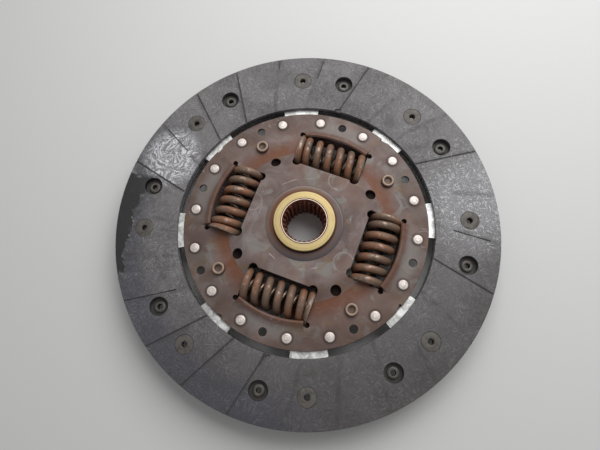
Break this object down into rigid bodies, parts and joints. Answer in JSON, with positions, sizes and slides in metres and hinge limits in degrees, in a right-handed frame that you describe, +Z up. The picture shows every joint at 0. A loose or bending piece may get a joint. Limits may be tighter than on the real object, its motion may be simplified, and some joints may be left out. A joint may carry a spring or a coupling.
{
  "type": "clutch disc",
  "caption": "Round friction clutch disc: two riveted lining rings on cushion segments, a dished retainer plate pair, four coil damper springs in windows and a splined hub.",
  "frame": {"origin": "centre of the hub's rear end, which the disc rests on", "axes": "+Z up the bore axis towards the face with the stop rivets' rolled heads; +X through the middle of one spring window"},
  "size_m": [0.215, 0.215, 0.0251],
  "materials": {
    "friction_lining": "matte",
    "facing_rivet": "satin",
    "steel_rivet": "satin",
    "cushion_steel": "satin",
    "plate_steel": "satin",
    "bush": "satin",
    "spring_steel": "satin",
    "inner_spring_steel": "satin",
    "hub_steel": "satin"
  },
  "bodies": {
    "disc": {"front_facing": "friction_lining", "rear_facing": "friction_lining", "front_facing_rivets": "facing_rivet", "rear_facing_rivets": "facing_rivet", "cushion_segment_1": "cushion_steel", "cushion_segment_2": "cushion_steel", "cushion_segment_3": "cushion_steel", "cushion_segment_4": "cushion_steel", "cushion_segment_5": "cushion_steel", "cushion_segment_6": "cushion_steel", "cushion_segment_7": "cushion_steel", "cushion_segment_8": "cushion_steel", "segment_rivets": "steel_rivet", "front_plate": "plate_steel", "rear_plate": "plate_steel", "stop_rivets": "plate_steel", "front_guide_bush": "bush", "rear_guide_bush": "bush", "cone_spring": "cushion_steel", "friction_ring": "friction_lining"},
    "hub": {"hub": "hub_steel"},
    "springs": {"damper_spring_1": "spring_steel", "damper_spring_2": "spring_steel", "damper_spring_3": "spring_steel", "damper_spring_4": "spring_steel", "inner_spring_1": "inner_spring_steel", "inner_spring_2": "inner_spring_steel", "inner_spring_3": "inner_spring_steel", "inner_spring_4": "inner_spring_steel"}
  },
  "joints": [
    {"name": "damper_twist", "type": "hinge", "parent": "disc", "child": "hub", "pos_m": [0, 0, 0], "axis": [0, 0, 1], "range_deg": [-3, 10], "stiffness_Nm_per_rad": 30, "deforming": ["damper_spring_1", "damper_spring_2", "damper_spring_3", "damper_spring_4", "inner_spring_1", "inner_spring_2", "inner_spring_3", "inner_spring_4"]},
    {"name": "spring_follow", "type": "hinge", "parent": "disc", "child": "springs", "pos_m": [0, 0, 0], "axis": [0, 0, 1], "range_deg": [-1.5, 5], "deforming": ["damper_spring_1", "damper_spring_2", "damper_spring_3", "damper_spring_4", "inner_spring_1", "inner_spring_2", "inner_spring_3", "inner_spring_4"]}
  ],
  "couplings": [
    {"joint": "spring_follow", "follows": "damper_twist", "ratio": 0.5}
  ]
}
